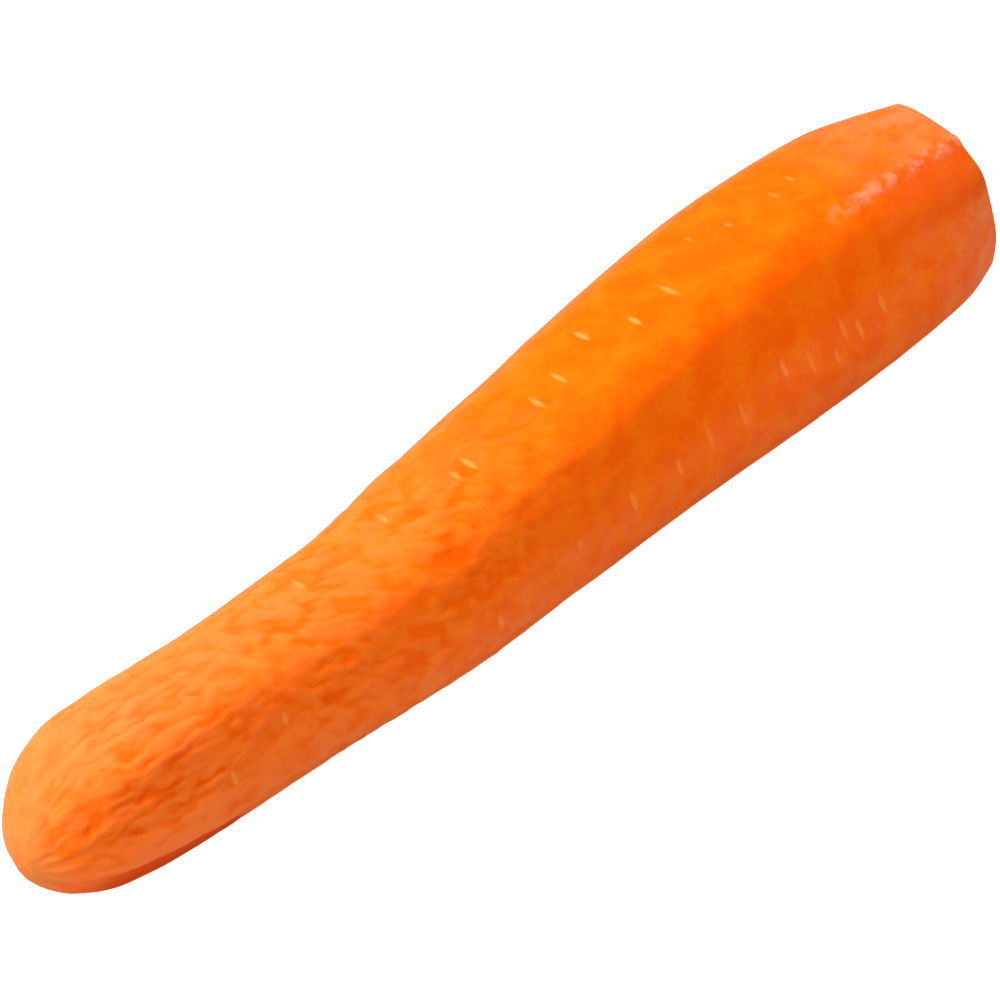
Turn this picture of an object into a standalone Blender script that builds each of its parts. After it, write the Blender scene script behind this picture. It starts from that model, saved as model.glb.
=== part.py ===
"""Peeled carrot root, lying on its underside.

Metres, +Z up.  The root points along X, with its tip towards -X and its trimmed crown towards +X.
The origin is on the surface that it lies on, under the middle of its bounding box.
The root is one body: rings of points run from the pole of the tip to the cut face of the crown.
"""
from math import cos, exp, hypot, pi, radians, sin, sqrt

import bmesh
import bpy
from mathutils import Vector, noise

MM = 0.001

# Driving dimensions
LENGTH = 200 * MM           # from the pole of the tip to the cut crown
TIP_CAP = 21.3 * MM         # how far the rounded tip reaches
TIP_BLUNTNESS = 1.85        # 2 is an ellipse, more is blunter
REST_DEPTH = 0.45 * MM      # how much of the underside is flat where the root lies
CUT_EDGE = 0.6 * MM         # broken edge round the crown's cut face
CUT_DISH = 0.5 * MM         # how far the cut face sinks to its middle

# Stations along the root: (millimetres from the tip, millimetres)
GIRTH = (
    (0, 14.8), (25, 14.4), (45, 14.0), (65, 14.7), (85, 16.3), (105, 17.3),
    (125, 18.4), (145, 19.6), (160, 20.1), (174, 19.9), (187, 19.3), (200, 18.3),
)
SWAY = (
    (0, 4.1), (10, 5.1), (23, 4.8), (36, 4.0), (50, 3.0), (75, 0.5),
    (100, 0.4), (125, 0.6), (150, -0.1), (175, -1.2), (200, -2.1),
)
LIFT = ((0, 0.0), (30, 0.0), (75, 0.3), (120, 0.0), (165, 0.0), (200, 1.0))

# The soft ridge that runs the whole length: (millimetres from the tip, degrees from +Y towards +Z)
RIDGE = ((0, 120), (40, 121), (60, 123), (85, 121), (110, 119), (130, 116), (150, 113), (200, 112))

# Broad flats of the peeled root: (degrees from the ridge, distance from the axis as a share of the girth)
FLATS = ((-35, 0.915), (36, 0.87), (118, 0.96), (195, 0.955), (-110, 0.965))
FLAT_SOFTNESS = 0.6 * MM

# Flat strokes of the knife round the crown: (degrees from +Y towards +Z,
# millimetres from the axis at the cut face, millimetres gained per millimetre away from it)
CROWN_TRIMS = (
    (42, 15.6, 0.265), (93, 15.7, 0.13), (124, 15.3, 0.14), (161, 14.0, 0.36), (184, 14.8, 0.40),
    (222, 16.1, 0.27), (262, 15.5, 0.30), (300, 15.6, 0.28), (340, 15.4, 0.28),
)
TRIM_REACH = 45 * MM        # no stroke round the crown is longer
TRIM_SOFTNESS = 0.9 * MM

# One flat stroke low on the side of the tip, which runs out towards the middle
TIP_STROKE = (210, 0.9)     # degrees from +Y towards +Z, distance from the axis as a share of the girth
TIP_STROKE_FULL = 14 * MM
TIP_STROKE_END = 40 * MM
TIP_STROKE_SOFTNESS = 0.15 * MM

# Longitudinal folds of the shrunken skin, deepest at the tip and gone before the crown
FOLD_DEPTH = 0.3 * MM
FOLD_WIDTH = 3.4 * MM
FOLD_LENGTH = 13 * MM
FOLD_END = 150 * MM
FOLD_FULL = 85 * MM

# Grooves that gather the skin into the pole of the tip
GATHER_COUNT = 13
GATHER_DEPTH = 0.3 * MM
GATHER_PEAK = 9 * MM        # distance over the skin from the pole where they are deepest

# Mesh
COLUMNS = 80
CAP_RINGS = 10
BODY_STEP = 3.4 * MM
CROWN_STEP = 1.7 * MM
CROWN_FINE = 20 * MM
CUT_RINGS = (0.7, 0.38)     # rings across the cut face, as shares of its radius

FLESH_ORANGE = "ED5D08"


def curve(stations, x):
    """Smooth curve through the stations at x metres from the tip, in the stations' own unit."""
    place = x / MM
    last = len(stations) - 1
    slopes = []
    for i in range(last + 1):
        before = stations[max(i - 1, 0)]
        after = stations[min(i + 1, last)]
        slopes.append((after[1] - before[1]) / (after[0] - before[0]))
    i = 0
    while i < last - 1 and place > stations[i + 1][0]:
        i += 1
    (x0, y0), (x1, y1) = stations[i], stations[i + 1]
    span = x1 - x0
    t = min(max((place - x0) / span, 0.0), 1.0)
    start = y0 * (1 + 2 * t) * (1 - t) ** 2 + slopes[i] * span * t * (1 - t) ** 2
    end = y1 * t * t * (3 - 2 * t) - slopes[i + 1] * span * t * t * (1 - t)
    return start + end


def along(stations, x):
    """The same curve in metres, for stations in millimetres."""
    return curve(stations, x) * MM


def ease(low, high, value):
    """0 at low, 1 at high, with no corner at either."""
    t = min(max((value - low) / (high - low), 0.0), 1.0)
    return t * t * (3 - 2 * t)


def stroke(radius, theta, angle, distance, softness):
    """Radius after a flat stroke at this angle and distance from the axis, with a soft edge."""
    facing = cos(theta - radians(angle))
    if facing < 0.3:
        return radius
    plane = distance / facing
    return 0.5 * (radius + plane - sqrt((radius - plane) ** 2 + softness ** 2))


def round_radius(x):
    """Radius at x from the tip before anything is cut flat, with the rounded end of the tip."""
    return along(GIRTH, x) * sqrt(1 - max(0.0, 1 - x / TIP_CAP) ** TIP_BLUNTNESS)


def trimmed_radius(x, theta):
    """Radius of the root at x from the tip and theta round it, before the skin's folds."""
    radius = round_radius(x)
    ridge = curve(RIDGE, x)
    for offset, share in FLATS:
        radius = stroke(radius, theta, ridge + offset, share * round_radius(x), FLAT_SOFTNESS)
    if x > LENGTH - TRIM_REACH:
        for angle, distance, gain in CROWN_TRIMS:
            reach = distance * MM + gain * (LENGTH - x)
            radius = stroke(radius, theta, angle, reach, TRIM_SOFTNESS)
    if x < TIP_STROKE_END:
        angle, share = TIP_STROKE
        share += (1 - share) * ease(TIP_STROKE_FULL, TIP_STROKE_END, x)
        radius = stroke(radius, theta, angle, share * round_radius(x), TIP_STROKE_SOFTNESS)
    return radius


def folds(x, skin, theta):
    """Height of the folds at skin metres over the surface from the pole of the tip."""
    girth = along(GIRTH, x)
    place = Vector((skin / FOLD_LENGTH, cos(theta) * girth / FOLD_WIDTH, sin(theta) * girth / FOLD_WIDTH))
    shrunken = 1 - ease(FOLD_FULL, FOLD_END, x)
    near_pole = ease(0, GATHER_PEAK, skin)
    wander = 0.5 * noise.noise(Vector((skin / FOLD_LENGTH, cos(theta), sin(theta))))
    gather = cos(GATHER_COUNT * (theta + wander)) * (skin / GATHER_PEAK) * exp(1 - skin / GATHER_PEAK)
    return FOLD_DEPTH * shrunken * near_pole * noise.noise(place) + 0.5 * GATHER_DEPTH * gather


def skin_point(x, skin, theta):
    """Point of the surface, in a frame with the tip's pole at x = 0 and the underside at z = 0."""
    radius = trimmed_radius(x, theta) + folds(x, skin, theta)
    height = along(GIRTH, x) + along(LIFT, x)
    y = along(SWAY, x) + radius * cos(theta)
    z = height + radius * sin(theta)
    return Vector((x, y, max(z, REST_DEPTH) - REST_DEPTH))


def ring_places():
    """Distances from the tip of all rings, close together at the tip and at the crown."""
    places = [TIP_CAP * (1 - cos(0.5 * pi * i / CAP_RINGS)) for i in range(1, CAP_RINGS + 1)]
    crown_start = LENGTH - CROWN_FINE
    body_rings = round((crown_start - TIP_CAP) / BODY_STEP)
    places += [TIP_CAP + (crown_start - TIP_CAP) * i / body_rings for i in range(1, body_rings + 1)]
    crown_rings = round((CROWN_FINE - CUT_EDGE) / CROWN_STEP)
    places += [crown_start + (CROWN_FINE - CUT_EDGE) * i / crown_rings for i in range(1, crown_rings + 1)]
    return places


def skin_rings():
    """Rings of points over the skin, each with the distance over the skin that it lies from the pole."""
    rings = []
    skin = 0.0
    x_before = 0.0
    radius_before = 0.0
    for x in ring_places():
        radius = round_radius(x)
        skin += hypot(x - x_before, radius - radius_before)
        x_before = x
        radius_before = radius
        rings.append([skin_point(x, skin, 2 * pi * j / COLUMNS) for j in range(COLUMNS)])
    return rings


def cut_rings(rim):
    """Rings of the cut face: its broken edge and the rings that sink to its middle."""
    middle = sum(rim, Vector()) / COLUMNS
    middle.x = LENGTH
    spread = sum(((p - middle).length for p in rim)) / COLUMNS
    edge = [middle + (Vector((LENGTH, p.y, p.z)) - middle) * (1 - CUT_EDGE / spread) for p in rim]
    rings = [edge]
    for share in CUT_RINGS:
        dish = Vector((CUT_DISH * (1 - share ** 2), 0, 0))
        rings.append([middle + (p - middle) * share - dish for p in edge])
    return rings, middle - Vector((CUT_DISH, 0, 0))


def centred(points):
    """Move to the frame's origin: the middle of the bounding box in x and y."""
    middle_x = 0.5 * (min(p.x for p in points) + max(p.x for p in points))
    middle_y = 0.5 * (min(p.y for p in points) + max(p.y for p in points))
    return [Vector((p.x - middle_x, p.y - middle_y, p.z)) for p in points]


def flesh_material():
    """Wet orange flesh with its skin peeled off."""
    material = bpy.data.materials.new("carrot_flesh")
    material.use_nodes = True
    shader = material.node_tree.nodes["Principled BSDF"]
    channels = [int(FLESH_ORANGE[i:i + 2], 16) / 255 for i in (0, 2, 4)]
    colour = [c / 12.92 if c <= 0.04045 else ((c + 0.055) / 1.055) ** 2.4 for c in channels]
    shader.inputs["Base Color"].default_value = (*colour, 1)
    shader.inputs["Roughness"].default_value = 0.42
    shader.inputs["Metallic"].default_value = 0.0
    return material


def carrot_root():
    """The whole root as one closed body."""
    rings = skin_rings()
    cut, cut_middle = cut_rings(rings[-1])
    rings += cut
    pole = Vector((0, along(SWAY, 0), along(GIRTH, 0)))
    points = centred([pole] + [p for ring in rings for p in ring] + [cut_middle])

    shape = bmesh.new()
    verts = [shape.verts.new(p) for p in points]
    grid = [verts[1 + i * COLUMNS:1 + (i + 1) * COLUMNS] for i in range(len(rings))]
    for j in range(COLUMNS):
        k = (j + 1) % COLUMNS
        shape.faces.new((verts[0], grid[0][k], grid[0][j]))
        shape.faces.new((verts[-1], grid[-1][j], grid[-1][k]))
        for ring, following in zip(grid, grid[1:]):
            shape.faces.new((ring[j], ring[k], following[k], following[j]))
    bmesh.ops.triangulate(shape, faces=shape.faces)
    bmesh.ops.recalc_face_normals(shape, faces=shape.faces)

    mesh = bpy.data.meshes.new("carrot_root")
    shape.to_mesh(mesh)
    shape.free()
    mesh.shade_smooth()
    mesh.set_sharp_from_angle(angle=radians(35))
    mesh.materials.append(flesh_material())
    root = bpy.data.objects.new("carrot_root", mesh)
    bpy.context.scene.collection.objects.link(root)
    return root


def main():
    for leftover in list(bpy.data.objects):
        bpy.data.objects.remove(leftover)
    carrot_root()


main()
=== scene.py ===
"""A peeled carrot root on a pale table, dressed over its solid.

The root is one piece.  Its form follows the solid's own stations and knife strokes on a much finer
grid; a Geometry Nodes tree then raises the shrunken skin's pads and folds, the root scars and the
torn fibres of the crown.  Metres, +Z up, tip towards -X.
"""
from collections import namedtuple
from math import cos, exp, hypot, pi, radians, sin, sqrt

import bpy
import numpy as np
from mathutils import Matrix, Vector, noise


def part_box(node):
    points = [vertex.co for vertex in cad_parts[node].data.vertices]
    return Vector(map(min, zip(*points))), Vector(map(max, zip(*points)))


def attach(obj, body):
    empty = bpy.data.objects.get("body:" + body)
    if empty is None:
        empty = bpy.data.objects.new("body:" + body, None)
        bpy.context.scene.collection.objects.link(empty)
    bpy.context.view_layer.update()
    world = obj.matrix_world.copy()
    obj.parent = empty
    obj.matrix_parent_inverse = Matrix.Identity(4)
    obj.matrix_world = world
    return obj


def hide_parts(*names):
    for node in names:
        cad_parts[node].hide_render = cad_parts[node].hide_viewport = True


bl_info = {
    "name": "Peeled Carrot",
    "version": (1, 0, 0),
    "blender": (4, 5, 0),
    "location": "View3D > Sidebar > Carrot",
    "description": "A peeled carrot root with its shrunken skin, root scars and trimmed crown",
    "category": "Add Mesh",
}

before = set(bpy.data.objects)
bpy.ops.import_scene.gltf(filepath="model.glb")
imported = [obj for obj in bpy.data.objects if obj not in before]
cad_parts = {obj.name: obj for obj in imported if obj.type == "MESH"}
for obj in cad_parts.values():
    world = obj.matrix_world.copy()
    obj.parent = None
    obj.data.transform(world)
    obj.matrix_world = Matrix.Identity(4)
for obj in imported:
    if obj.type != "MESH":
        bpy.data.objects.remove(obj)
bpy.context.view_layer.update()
ROOT_LOW, ROOT_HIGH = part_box("carrot_root")

MM = 0.001

# The root's form, as in its solid
LENGTH = ROOT_HIGH.x - ROOT_LOW.x
TIP_CAP = 21.3 * MM         # how far the rounded tip reaches
TIP_BLUNTNESS = 1.85        # 2 is an ellipse, more is blunter
REST_DEPTH = 0.45 * MM      # how much of the underside is flat where the root lies
CUT_EDGE = 0.6 * MM         # broken edge round the crown's cut face
CUT_DISH = 0.5 * MM         # how far the cut face sinks to its middle

# Stations along the root: (millimetres from the tip, millimetres)
GIRTH = (
    (0, 14.8), (25, 14.4), (45, 14.0), (65, 14.7), (85, 16.3), (105, 17.3),
    (125, 18.4), (145, 19.6), (160, 20.1), (174, 19.9), (187, 19.3), (200, 18.3),
)
SWAY = (
    (0, 4.1), (10, 5.1), (23, 4.8), (36, 4.0), (50, 3.0), (75, 0.5),
    (100, 0.4), (125, 0.6), (150, -0.1), (175, -1.2), (200, -2.1),
)
LIFT = ((0, 0.0), (30, 0.0), (75, 0.3), (120, 0.0), (165, 0.0), (200, 1.0))

# The soft ridge that runs the whole length: (millimetres from the tip, degrees from +Y towards +Z)
RIDGE = ((0, 120), (40, 121), (60, 123), (85, 121), (110, 119), (130, 116), (150, 113), (200, 112))

# Broad flats of the peeled root: (degrees from the ridge, distance from the axis as a share of the girth)
FLATS = ((-35, 0.915), (36, 0.87), (118, 0.96), (195, 0.955), (-110, 0.965))
FLAT_SOFTNESS = 0.6 * MM
RIDGE_SOFTNESS = 0.9 * MM   # how much softer the flats' edges are along the ridge
RIDGE_WIDTH = 24            # degrees beside the ridge over which they are
SOFT_FROM = 8 * MM          # radius below which edges get crisper, so that the pole stays whole

# Flat strokes of the knife round the crown: (degrees from +Y towards +Z,
# millimetres from the axis at the cut face, millimetres gained per millimetre away from it)
CROWN_TRIMS = (
    (42, 15.6, 0.265), (93, 15.7, 0.13), (124, 15.3, 0.14), (161, 14.0, 0.36), (184, 14.8, 0.40),
    (222, 16.1, 0.27), (262, 15.5, 0.30), (300, 15.6, 0.28), (340, 15.4, 0.28),
)
TRIM_REACH = 45 * MM
TRIM_SOFTNESS = 0.9 * MM
STROKE_FACING = 0.3         # cosine of the angle off a stroke from which it doesn't reach the root

# One flat stroke low on the side of the tip, which runs out towards the middle
TIP_STROKE = (210, 0.9)     # degrees from +Y towards +Z, distance from the axis as a share of the girth
TIP_STROKE_FULL = 14 * MM
TIP_STROKE_END = 40 * MM
TIP_STROKE_SOFTNESS = 0.15 * MM

# Longitudinal folds of the shrunken skin, deepest at the tip and gone before the crown
FOLD_DEPTH = 0.3 * MM
FOLD_WIDTH = 3.4 * MM
FOLD_LENGTH = 13 * MM
FOLD_END = 150 * MM
FOLD_FULL = 85 * MM

# Grooves that gather the skin into the pole of the tip
GATHER_COUNT = 13
GATHER_DEPTH = 0.3 * MM
GATHER_START = 2.5 * MM     # distance over the skin from the pole where they begin
GATHER_PEAK = 9 * MM        # and where they are deepest

# The small fold beside the pole of the tip, with a groove on its other side
POLE_FOLD = (4.2 * MM, 15.3 * MM)   # y and z of its middle
POLE_FOLD_TURN = 57                 # degrees from +Y towards +Z of the line that it follows
POLE_FOLD_LENGTH = 2.8 * MM
POLE_FOLD_WIDTH = 0.8 * MM
POLE_FOLD_HEIGHT = 0.3 * MM

# How far patterns gather at the pole of the tip
POLE_WIDTH = 0.5            # width there, as a share of the girth
POLE_REACH = 22 * MM

# The fine grid
COLUMNS = 248
CAP_RINGS = 60
FINE_STEP = 0.47 * MM       # between rings where the skin is wrinkled
COARSE_STEP = 0.68 * MM     # between rings of the smooth crown half
FINE_END = 110 * MM
EDGE_RINGS = 4
CUT_RINGS = 16

# Root scars in ranks, as (millimetres from the tip, degrees from +Y towards +Z, millimetres long)
UPPER_SCARS = (
    (60, 75, 3.2), (77, 75, 3.2), (90, 87, 3.0), (93, 87, 4.4), (109, 86, 4.6),
    (115, 83, 4.4), (124, 72, 4.0), (131, 88, 3.6), (139, 87, 5.2), (150, 68, 2.0),
    (156, 77, 2.2), (166, 78, 2.4), (171, 74, 2.6),
)
LOWER_SCARS = (
    (44, 152, 3.6), (83, 181, 3.4), (101, 172, 2.6), (113, 171, 4.4), (123, 171, 3.4), (130, 167, 6.6),
    (137, 168, 6.4), (147, 160, 4.0), (152, 165, 5.6), (157, 171, 3.0), (160, 161, 5.4),
    (163, 166, 4.4), (169, 162, 4.6),
)
UPPER_PALENESS = 0.95       # how much of the corky colour a full scar has
LOWER_PALENESS = 0.65
SCAR_FULL = 4.0             # millimetres long of the widest and palest; longer ones are drawn out thin
SCAR_WIDTH = 1.35 * MM      # of the widest
SCAR_SPACE = (3.0, 1.0, 1.0)    # stretch along the root in which the nearest scar is looked for

# Ranks on the far side and underneath, whose scars are placed by a rule
FAR_RANKS = (271, 343)      # degrees from +Y towards +Z
FAR_SCAR_START = 22         # millimetres from the tip, before the first gap
FAR_SCAR_GAPS = (7, 19)     # millimetres from one scar to the next
FAR_SCAR_STRAY = 6          # degrees beside the rank
FAR_SCAR_LENGTHS = (2.4, 5.2)   # millimetres

PAD_LEAN = (0.0, 0.45, 0.3)     # how far the rows of pads run off sideways, as a share of their run

# The most wrinkled band beside the ridge
BAND_MIDDLE = 2 * MM
BAND_FADE = (7 * MM, 16 * MM)   # distances from its middle between which it fades

# How pale the skin is round the root, partly drier skin and partly painted sheen where the upper side faces
# the light: (millimetres beside the ridge, share)
SIDE_PALENESS = (
    (-45, 0.45), (-32, 0.7), (-24, 1.0), (-12, 1.0), (-8, 0.9), (-3, 0.6), (1, 0.4), (4, 0.25), (8, 0.3),
    (13, 0.55), (18, 0.55), (20.5, 0.05), (37, 0.05), (45, 0.45),
)

FRAY_OFFSET = 0.7 * MM      # how far above the ridge the torn fibres lie

# Raw carrot: water in its cells gives depth and softens the shading, with little gloss in soft light
RAW_CARROT = {
    "IOR": 1.38,
    "Specular IOR Level": 0.02,
    "Subsurface Weight": 0.15,
    "Subsurface Radius": (1.0, 0.3, 0.08),
    "Subsurface Scale": 1.5 * MM,
}

# Table, light and camera
TABLE_HALF = 3.0            # metres from its middle to its edge
TABLE_GAP = 0.05 * MM       # keeps the table top out of the flat underside's plane
LAMP_SIZE = 0.8             # metres
LAMP_DISTANCE = 1.3         # metres from the root
LAMP_WAY = (-0.35, 0.45, 0.82)  # from the root to the lamp
CAMERA_TARGET = (-0.2, 1.7, 19.0)   # millimetres
SENSOR_WIDTH = 36           # millimetres


def linear(code):
    """sRGB hex to linear RGBA."""
    channels = [int(code[i:i + 2], 16) / 255 for i in (0, 2, 4)]
    return [c / 12.92 if c <= 0.04045 else ((c + 0.055) / 1.055) ** 2.4 for c in channels] + [1.0]


def size_property(name, description, millimetres):
    """A length that a user can change."""
    return bpy.props.FloatProperty(
        name=name, description=description, default=millimetres * MM, min=0.0, unit="LENGTH", precision=5,
    )


def colour_property(name, description, code):
    """A colour that a user can change."""
    return bpy.props.FloatVectorProperty(
        name=name, description=description, default=linear(code), size=4, subtype="COLOR", min=0.0, max=1.0,
    )


class CarrotSkin(bpy.types.PropertyGroup):
    """Sizes of the skin's relief."""

    tip_pad_length: size_property("Tip Pad Length", "Length of the skin's pads at the tip", 6.5)
    tip_pad_width: size_property("Tip Pad Width", "Width of the skin's pads at the tip", 1.5)
    pad_length: size_property("Pad Length", "Length of the skin's pads towards the middle", 3.2)
    pad_width: size_property("Pad Width", "Width of the skin's pads towards the middle", 2.3)
    pad_depth: size_property("Pad Depth", "Depth of the creases between the pads", 0.8)
    wander: size_property("Wander", "How far the creases wander", 3.0)
    wrinkled_to: size_property("Wrinkled To", "How far from the tip the skin is fully wrinkled", 70.0)
    smooth_from: size_property("Smooth From", "How far from the tip the skin starts to be smooth", 128.0)
    dimple_size: size_property("Dimple Size", "Width of the shallow dimples of the whole surface", 7.0)
    dimple_depth: size_property("Dimple Depth", "Depth of the shallow dimples", 0.22)
    scar_depth: size_property("Scar Depth", "How far a root scar sinks in", 0.14)
    fray_height: size_property("Fray Height", "How far the torn fibres stand up on the crown's ridge", 0.25)
    seed: bpy.props.IntProperty(
        name="Seed", description="Which pattern of scars on the far side", default=4, min=0,
    )


class CarrotColours(bpy.types.PropertyGroup):
    """Colours of the flesh."""

    flesh: colour_property("Flesh", "Wet orange flesh", "F45D02")
    bright: colour_property("Bright Flesh", "Lighter clouds in the flesh", "F76C06")
    # Groove colour: partly wetter flesh, partly painted shade in the skin's creases
    groove: colour_property("Groove", "Bottom of the skin's creases", "EE5201")
    # Dried skin colour: partly real dry skin, partly painted sheen on the lit upper side and the pads' tops
    dried: colour_property("Dried Skin", "Drier skin towards the tip", "FA8042")
    # Painted shade: deeper orange on the tip's downward-facing stroke and just under the crown's ridge
    fresh: colour_property("Fresh Cut", "Flesh where the knife went deeper", "DD4A08")
    # Haze: pale colour of the torn fibres and of a film at the crown's end, and also painted reflection
    # along the lower side
    haze: colour_property("Haze", "Pale film where the wet flesh has begun to dry", "F9A585")
    scar: colour_property("Scar", "Corky root scar", "FF8F40")
    pole: colour_property("Pole", "Corky skin round the pole of the tip", "DC7C3A")
    core: colour_property("Core", "Heart of the root on its cut face", "F0862A")
    ring: colour_property("Ring", "Pale ring round the heart", "F7B35A")


class CarrotStage(bpy.types.PropertyGroup):
    """Light, table and camera."""

    key_power: bpy.props.FloatProperty(
        name="Key Power", description="Power of the large soft light", default=24.0, min=0.0, unit="POWER",
    )
    room_light: bpy.props.FloatProperty(
        name="Room Light", description="Brightness of the white room", default=0.7, min=0.0,
    )
    table: colour_property("Table", "Colour of the table", "C8C8C8")
    table_glow: bpy.props.FloatProperty(
        name="Table Glow", description="Light in the table that only the camera sees", default=0.9, min=0.0,
    )
    camera_turn: bpy.props.FloatProperty(
        name="Camera Turn", description="Camera's turn round the root", default=radians(-47.29),
        subtype="ANGLE",
    )
    camera_height: bpy.props.FloatProperty(
        name="Camera Height", description="Camera's angle above the table", default=radians(45),
        subtype="ANGLE",
    )
    camera_distance: size_property("Camera Distance", "From the camera to the root", 900.0)
    lens: bpy.props.FloatProperty(
        name="Lens", description="Focal length in millimetres", default=209.3, min=1.0,
    )


def named_sizes(group):
    """The group's sizes by the names that users see, which are the tree's own input names too."""
    properties = group.bl_rna.properties.items()
    return {one.name: getattr(group, key) for key, one in properties if one.type == "FLOAT"}


def curve(stations, x):
    """Smooth curve through the stations at x metres from the tip, in the stations' own unit."""
    place = x / MM
    last = len(stations) - 1
    slopes = []
    for i in range(last + 1):
        before = stations[max(i - 1, 0)]
        after = stations[min(i + 1, last)]
        slopes.append((after[1] - before[1]) / (after[0] - before[0]))
    i = 0
    while i < last - 1 and place > stations[i + 1][0]:
        i += 1
    (x0, y0), (x1, y1) = stations[i], stations[i + 1]
    span = x1 - x0
    t = min(max((place - x0) / span, 0.0), 1.0)
    start = y0 * (1 + 2 * t) * (1 - t) ** 2 + slopes[i] * span * t * (1 - t) ** 2
    end = y1 * t * t * (3 - 2 * t) - slopes[i + 1] * span * t * t * (1 - t)
    return start + end


def along(stations, x):
    """The same curve in metres, for stations in millimetres."""
    return curve(stations, x) * MM


def ease(low, high, value):
    """0 at low, 1 at high, with no corner at either."""
    t = min(max((value - low) / (high - low), 0.0), 1.0)
    return t * t * (3 - 2 * t)


def stroke(radius, theta, angle, distance, softness):
    """Radii after a flat stroke at this angle and distance from the axis, with a soft edge."""
    facing = np.cos(theta - radians(angle))
    plane = distance / np.maximum(facing, STROKE_FACING)
    cut = 0.5 * (radius + plane - np.sqrt((radius - plane) ** 2 + softness ** 2))
    return np.where(facing < STROKE_FACING, radius, cut)


def round_radius(x):
    """Radius at x from the tip before anything is cut flat, with the rounded end of the tip."""
    return along(GIRTH, x) * sqrt(1 - max(0.0, 1 - x / TIP_CAP) ** TIP_BLUNTNESS)


def trimmed_radius(x, theta):
    """Radii of one ring at x from the tip, before the folds, and where the tip's stroke bared flesh."""
    radius = np.full_like(theta, round_radius(x))
    ridge = curve(RIDGE, x)
    beside = (theta - radians(ridge) + pi) % (2 * pi) - pi
    softness = FLAT_SOFTNESS + RIDGE_SOFTNESS * np.exp(-(beside / radians(RIDGE_WIDTH)) ** 2)
    softness *= min(round_radius(x) / SOFT_FROM, 1.0)
    for offset, share in FLATS:
        radius = stroke(radius, theta, ridge + offset, share * round_radius(x), softness)
    if x > LENGTH - TRIM_REACH:
        for angle, distance, gain in CROWN_TRIMS:
            reach = distance * MM + gain * (LENGTH - x)
            radius = stroke(radius, theta, angle, reach, TRIM_SOFTNESS)
    uncut = radius
    if x < TIP_STROKE_END:
        angle, share = TIP_STROKE
        share += (1 - share) * ease(TIP_STROKE_FULL, TIP_STROKE_END, x)
        radius = stroke(radius, theta, angle, share * round_radius(x), TIP_STROKE_SOFTNESS)
    bared = np.clip((uncut - radius) / TIP_STROKE_SOFTNESS - 0.5, 0, 1)
    return radius, bared * ease(0, TIP_STROKE_FULL, x)


def folds(x, skin, theta):
    """Heights of the broad folds on one ring, at skin metres over the surface from the pole of the tip."""
    girth = along(GIRTH, x)
    shrunken = FOLD_DEPTH * (1 - ease(FOLD_FULL, FOLD_END, x)) * ease(0, GATHER_PEAK, skin)
    fading = exp(1 - max(skin / GATHER_PEAK, 1.0))
    gathered = 0.5 * GATHER_DEPTH * ease(GATHER_START, GATHER_PEAK, skin) * fading
    heights = []
    for angle in theta:
        y = cos(angle)
        z = sin(angle)
        fold = noise.noise(Vector((skin / FOLD_LENGTH, y * girth / FOLD_WIDTH, z * girth / FOLD_WIDTH)))
        wander = 0.5 * noise.noise(Vector((skin / FOLD_LENGTH, y, z)))
        heights.append(shrunken * fold + gathered * cos(GATHER_COUNT * (angle + wander)))
    return np.array(heights)


def ring_places():
    """Distances from the tip of all rings of the skin."""
    places = [TIP_CAP * (1 - cos(0.5 * pi * i / CAP_RINGS)) for i in range(1, CAP_RINGS + 1)]
    for start, end, step in ((TIP_CAP, FINE_END, FINE_STEP), (FINE_END, LENGTH - CUT_EDGE, COARSE_STEP)):
        count = round((end - start) / step)
        places += [start + (end - start) * i / count for i in range(1, count + 1)]
    return places


def skin_distances(places):
    """Distance over the skin from the pole of the tip to each ring."""
    distances = []
    skin = 0.0
    x_before = 0.0
    radius_before = 0.0
    for x in places:
        radius = round_radius(x)
        skin += hypot(x - x_before, radius - radius_before)
        x_before = x
        radius_before = radius
        distances.append(skin)
    return distances


def wound(skin, x, theta):
    """Where points of the skin lie on the root as if it were straight and round: patterns follow this.

    Towards the pole of the tip it narrows, but less than the root does, so that patterns gather there.
    """
    girth = along(GIRTH, x)
    girth *= POLE_WIDTH + (1 - POLE_WIDTH) * ease(0, POLE_REACH, skin)
    return np.stack([np.full_like(theta, skin), girth * np.cos(theta), girth * np.sin(theta)], axis=-1)


def off_ridge(x, theta):
    """Distance of points over the skin from the long ridge, positive towards the lower side."""
    turn = (theta - radians(curve(RIDGE, x)) + pi) % (2 * pi) - pi
    return turn * along(GIRTH, x)


# One ring of vertices, with the values that patterns follow
Ring = namedtuple("Ring", "points wound station off_ridge cut fresh")


def skin_rings(theta):
    """All rings of the skin, from the tip to the crown."""
    places = ring_places()
    rings = []
    for x, skin in zip(places, skin_distances(places)):
        radius, fresh = trimmed_radius(x, theta)
        radius += folds(x, skin, theta)
        y = along(SWAY, x) + radius * np.cos(theta)
        z = along(GIRTH, x) + along(LIFT, x) + radius * np.sin(theta)
        z = np.maximum(z, REST_DEPTH) - REST_DEPTH
        points = np.stack([np.full_like(y, x), y, z], axis=-1)
        rings.append(Ring(points, wound(skin, x, theta), x, off_ridge(x, theta), 0.0, fresh))
    return rings


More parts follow.
